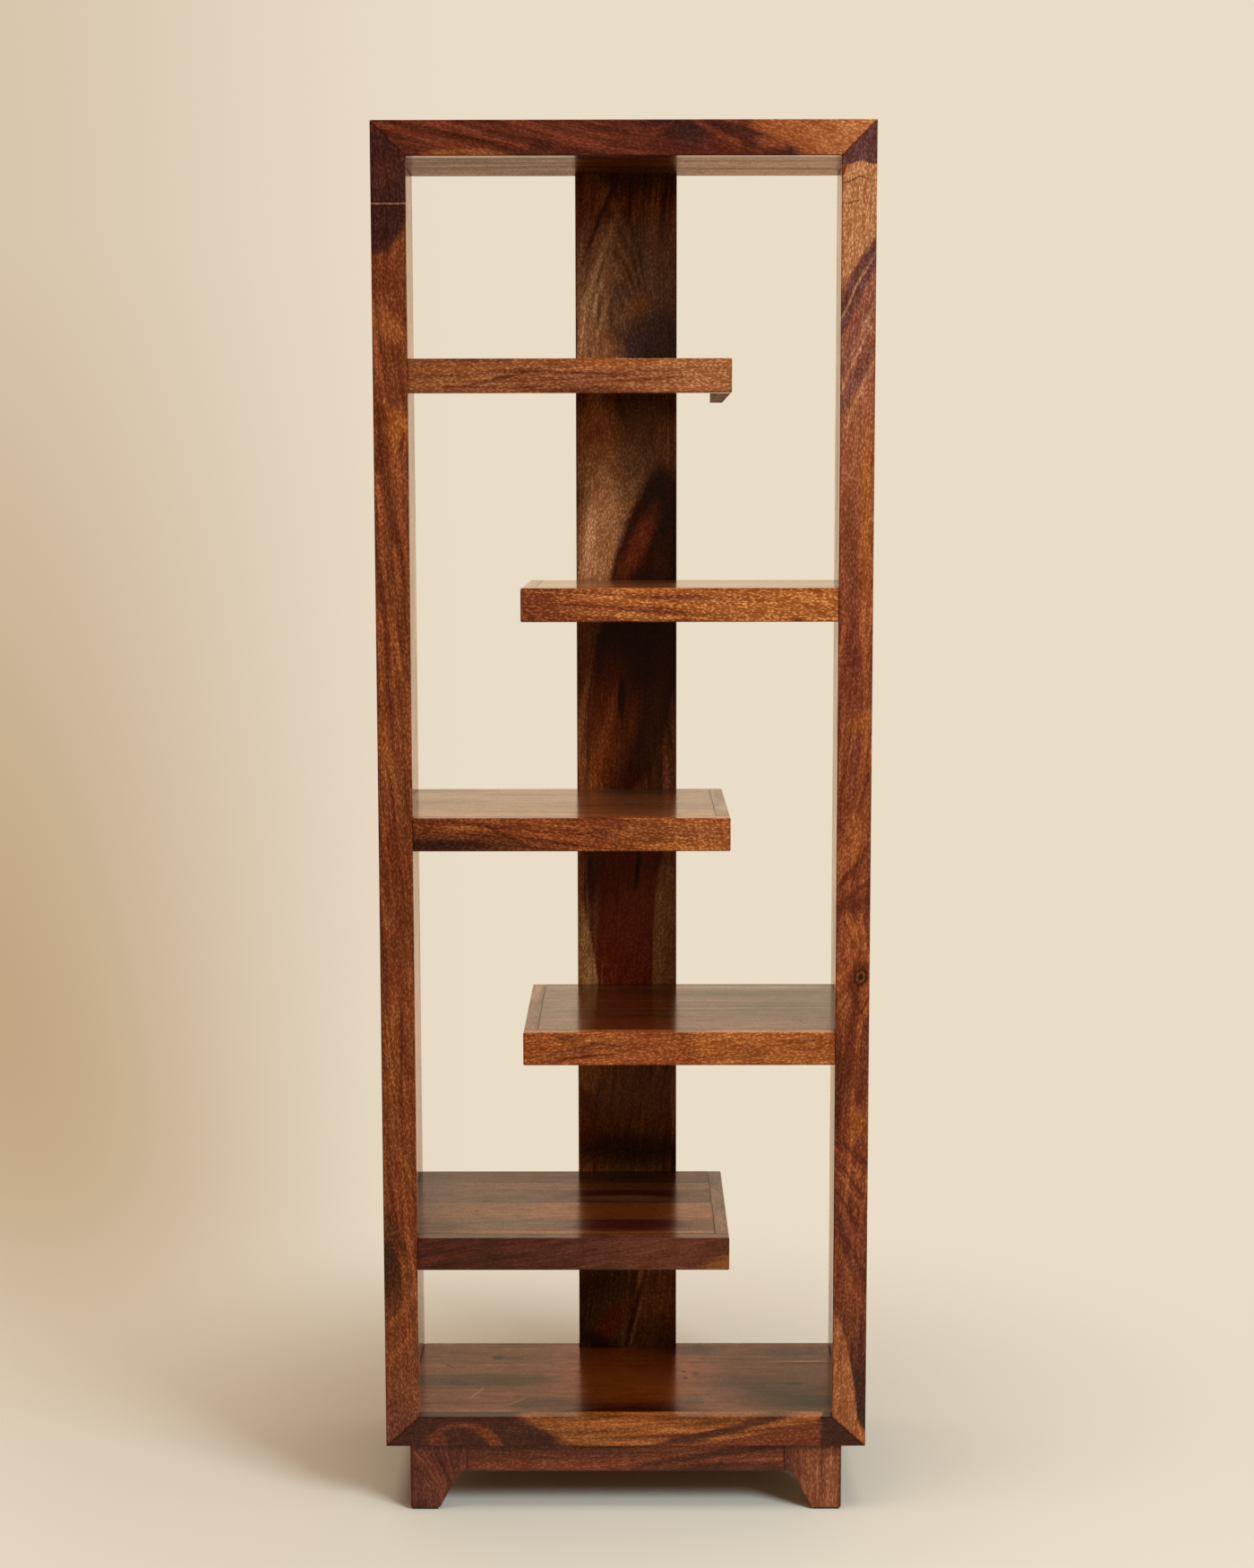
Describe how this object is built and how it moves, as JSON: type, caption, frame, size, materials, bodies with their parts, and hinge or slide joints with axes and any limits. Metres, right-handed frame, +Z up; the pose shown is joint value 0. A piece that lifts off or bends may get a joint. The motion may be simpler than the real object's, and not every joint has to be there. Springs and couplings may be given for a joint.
{
  "type": "shelving unit",
  "caption": "Tall open shelving unit with a mitred face frame, staggered shelves that reach past a centre back plank, and a base on bracket feet.",
  "frame": {"origin": "on the floor, under the middle of the unit's box", "axes": "+Z up, the front faces -Y, +X to the right as seen from the front"},
  "size_m": [0.632, 0.35, 1.8],
  "materials": {
    "lipping": "clear gloss lacquer on streaky red-brown sheesham",
    "panel": "clear gloss lacquer on brown sheesham",
    "plank": "clear gloss lacquer on dark sheesham heartwood",
    "base": "clear gloss lacquer on red-brown sheesham",
    "beech": "bare planed beech",
    "steel": "zinc plated",
    "felt": "dark pressed felt"
  },
  "bodies": {
    "root": {"back_apron": "base", "back_left_foot_face": "base", "back_left_foot_return": "base", "back_plank": "plank", "back_right_foot_face": "base", "back_right_foot_return": "base", "bottom_panel": "panel", "foot_glide_back_left": "felt", "foot_glide_back_right": "felt", "foot_glide_front_left": "felt", "foot_glide_front_right": "felt", "frame_bottom_rail": "lipping", "frame_left_stile": "lipping", "frame_right_stile": "lipping", "frame_spline_bottom_left": "beech", "frame_spline_bottom_right": "beech", "frame_spline_top_left": "beech", "frame_spline_top_right": "beech", "frame_top_rail": "lipping", "front_apron": "base", "front_left_foot_face": "base", "front_left_foot_return": "base", "front_right_foot_face": "base", "front_right_foot_return": "base", "glue_block_back_left": "beech", "glue_block_back_right": "beech", "glue_block_front_left": "beech", "glue_block_front_right": "beech", "left_apron": "base", "left_side_panel": "panel", "right_apron": "base", "right_side_panel": "panel", "shelf_1_end_rail": "lipping", "shelf_1_front_lipping": "lipping", "shelf_1_panel": "panel", "shelf_1_screw_left": "steel", "shelf_1_screw_right": "steel", "shelf_2_end_rail": "lipping", "shelf_2_front_lipping": "lipping", "shelf_2_panel": "panel", "shelf_2_screw_left": "steel", "shelf_2_screw_right": "steel", "shelf_3_end_rail": "lipping", "shelf_3_front_lipping": "lipping", "shelf_3_panel": "panel", "shelf_3_screw_left": "steel", "shelf_3_screw_right": "steel", "shelf_4_end_rail": "lipping", "shelf_4_front_lipping": "lipping", "shelf_4_panel": "panel", "shelf_4_screw_left": "steel", "shelf_4_screw_right": "steel", "shelf_5_end_rail": "lipping", "shelf_5_front_lipping": "lipping", "shelf_5_panel": "panel", "shelf_5_screw_left": "steel", "shelf_5_screw_right": "steel", "top_panel": "panel"}
  },
  "joints": []
}
